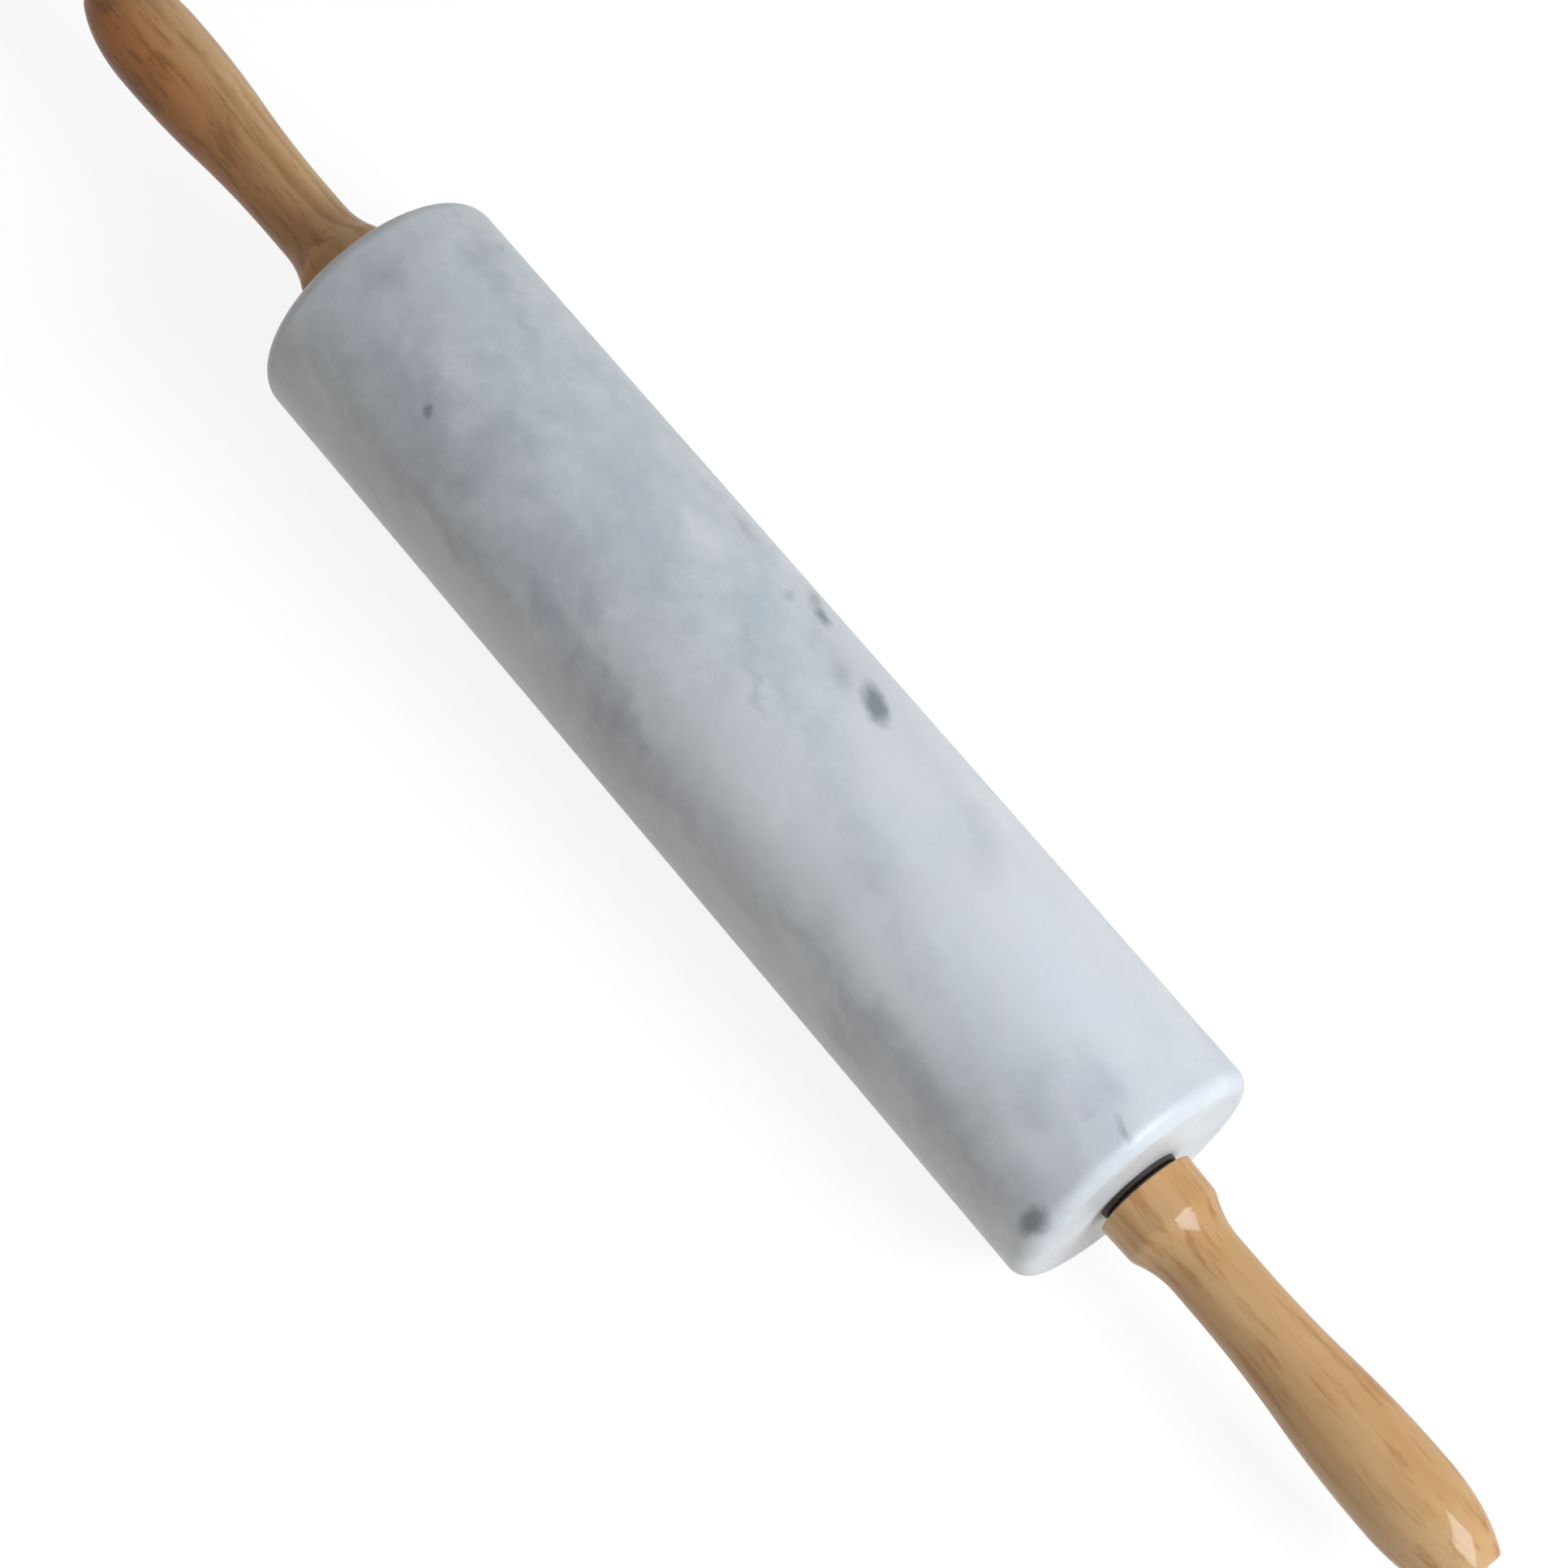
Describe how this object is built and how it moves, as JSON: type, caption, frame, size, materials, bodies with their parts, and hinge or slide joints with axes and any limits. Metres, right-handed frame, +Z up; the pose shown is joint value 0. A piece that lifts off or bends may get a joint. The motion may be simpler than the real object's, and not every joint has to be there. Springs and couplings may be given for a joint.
{
  "type": "marble rolling pin",
  "caption": "Rolling pin with a stone barrel that spins on a steel axle between two turned wooden handles.",
  "frame": {"origin": "middle of the barrel, on the axle's centre line", "axes": "+X along the axle towards the right handle, +Z up; the pin lies on its barrel with its lowest line at -Z"},
  "size_m": [0.4532, 0.0603, 0.0602],
  "materials": {
    "marble": "honed and lightly polished",
    "wood": "turned, clear varnish",
    "nylon": "moulded, black",
    "steel": "zinc plated",
    "brass": "machined"
  },
  "bodies": {
    "handles_and_axle": {"axle_rod": "steel", "left_lock_nut": "steel", "right_lock_nut": "steel", "left_spring_washer": "steel", "right_spring_washer": "steel", "left_threaded_insert": "brass", "right_threaded_insert": "brass", "left_handle": "wood", "right_handle": "wood"},
    "roller": {"marble_barrel": "marble", "left_bush": "nylon", "right_bush": "nylon"},
    "left_washer": {"left_thrust_washer": "nylon"},
    "right_washer": {"right_thrust_washer": "nylon"}
  },
  "joints": [
    {"name": "barrel_spin", "type": "hinge", "parent": "handles_and_axle", "child": "roller", "pos_m": [0, 0, 0], "axis": [1, 0, 0], "continuous": true},
    {"name": "left_washer_spin", "type": "hinge", "parent": "handles_and_axle", "child": "left_washer", "pos_m": [-0.1289, 0, 0], "axis": [1, 0, 0], "continuous": true},
    {"name": "right_washer_spin", "type": "hinge", "parent": "handles_and_axle", "child": "right_washer", "pos_m": [0.1289, 0, 0], "axis": [1, 0, 0], "continuous": true}
  ]
}
